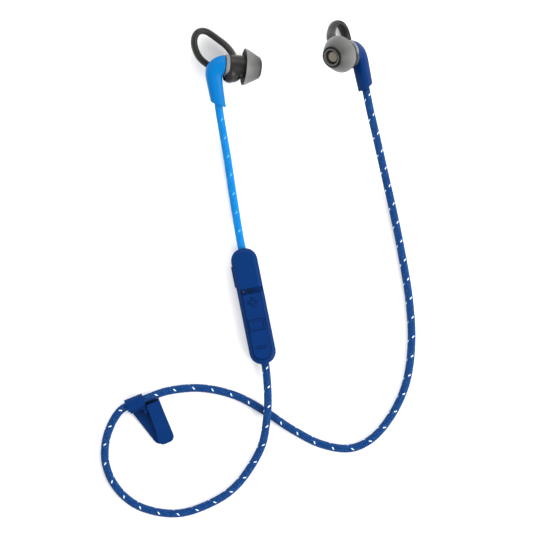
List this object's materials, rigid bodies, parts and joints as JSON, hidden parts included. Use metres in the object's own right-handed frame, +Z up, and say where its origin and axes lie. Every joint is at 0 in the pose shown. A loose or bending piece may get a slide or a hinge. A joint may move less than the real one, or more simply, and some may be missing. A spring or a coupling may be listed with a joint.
{
  "type": "neckband earphones",
  "caption": "Corded neckband earphones: two angled earbuds with silicone tips and ear loops, an in-line button remote, and a collar clip on the braided neck cord.",
  "frame": {"origin": "middle of the remote's flat back, which lies on the surface at z = 0", "axes": "+Z up from the surface; +Y from the remote towards the earbuds, along the set's length; +X towards the right earbud"},
  "size_m": [0.1132, 0.179, 0.0266],
  "materials": {
    "navy_shell": "satin",
    "navy_rubber": "matte",
    "bright_blue_shell": "soft gloss",
    "bright_blue_braid": "braided",
    "navy_braid": "braided with reflective flecks",
    "grey_silicone": "translucent satin",
    "dark_silicone": "satin",
    "charcoal_plastic": "satin",
    "pale_plastic": "glossy",
    "pale_mesh": "fine mesh",
    "black_plastic": "matte",
    "steel": "brushed",
    "circuit_board": "satin",
    "battery_foil": "satin foil"
  },
  "bodies": {
    "earphones": {"remote_rear_shell": "navy_shell", "remote_front_shell": "navy_shell", "remote_keypad": "navy_rubber", "plus_switch_dome": "steel", "main_switch_dome": "steel", "minus_switch_dome": "steel", "remote_circuit_board": "circuit_board", "remote_battery": "battery_foil", "charging_port": "steel", "microphone": "steel", "status_light_pipe": "charcoal_plastic", "upper_cord_anchor": "black_plastic", "lower_cord_anchor": "black_plastic", "left_housing": "bright_blue_shell", "left_trim_ring": "pale_plastic", "left_nozzle_body": "charcoal_plastic", "left_driver": "steel", "left_nozzle_mesh": "pale_mesh", "left_ear_loop": "dark_silicone", "left_cord_anchor": "black_plastic", "right_housing": "navy_shell", "right_trim_ring": "pale_plastic", "right_nozzle_body": "charcoal_plastic", "right_driver": "steel", "right_nozzle_mesh": "pale_mesh", "right_ear_loop": "dark_silicone", "right_cord_anchor": "black_plastic", "left_cord": "bright_blue_braid", "neck_cord": "navy_braid"},
    "plus_button": {"plus_button": "navy_rubber"},
    "main_button": {"main_button": "navy_rubber"},
    "minus_button": {"minus_button": "navy_rubber"},
    "port_cover": {"port_cover": "navy_rubber"},
    "clip": {"clip_body": "navy_shell", "clip_pin": "steel", "clip_spring": "steel"},
    "clip_jaw": {"clip_jaw": "navy_shell"},
    "left_ear_tip": {"left_ear_tip": "grey_silicone"},
    "right_ear_tip": {"right_ear_tip": "grey_silicone"}
  },
  "joints": [
    {"name": "plus_button_press", "type": "slide", "parent": "earphones", "child": "plus_button", "axis": [0, 0, -1], "range_m": [0, 0.0003], "stiffness_N_per_m": 2000},
    {"name": "main_button_press", "type": "slide", "parent": "earphones", "child": "main_button", "axis": [0, 0, -1], "range_m": [0, 0.0003], "stiffness_N_per_m": 2000},
    {"name": "minus_button_press", "type": "slide", "parent": "earphones", "child": "minus_button", "axis": [0, 0, -1], "range_m": [0, 0.0003], "stiffness_N_per_m": 2000},
    {"name": "port_cover_hinge", "type": "hinge", "parent": "earphones", "child": "port_cover", "pos_m": [-0.00632, 0.00658, 0.0023], "axis": [0, 0, 1], "range_deg": [0, 110]},
    {"name": "clip_swivel", "type": "hinge", "parent": "earphones", "child": "clip", "pos_m": [-0.0398, -0.0337, 0.00275], "axis": [-0.9272, -0.3746, 0], "range_deg": [0, 170]},
    {"name": "clip_jaw_hinge", "type": "hinge", "parent": "clip", "child": "clip_jaw", "pos_m": [-0.0365, -0.03625, 0.0027], "axis": [-0.9272, -0.3746, 0], "range_deg": [0, 25], "stiffness_Nm_per_rad": 0.03},
    {"name": "left_ear_tip_pull", "type": "slide", "parent": "earphones", "child": "left_ear_tip", "axis": [0.9786, -0.077, -0.1908], "range_m": [0, 0.0034]},
    {"name": "right_ear_tip_pull", "type": "slide", "parent": "earphones", "child": "right_ear_tip", "axis": [-0.537, -0.2391, 0.809], "range_m": [0, 0.0034]}
  ]
}
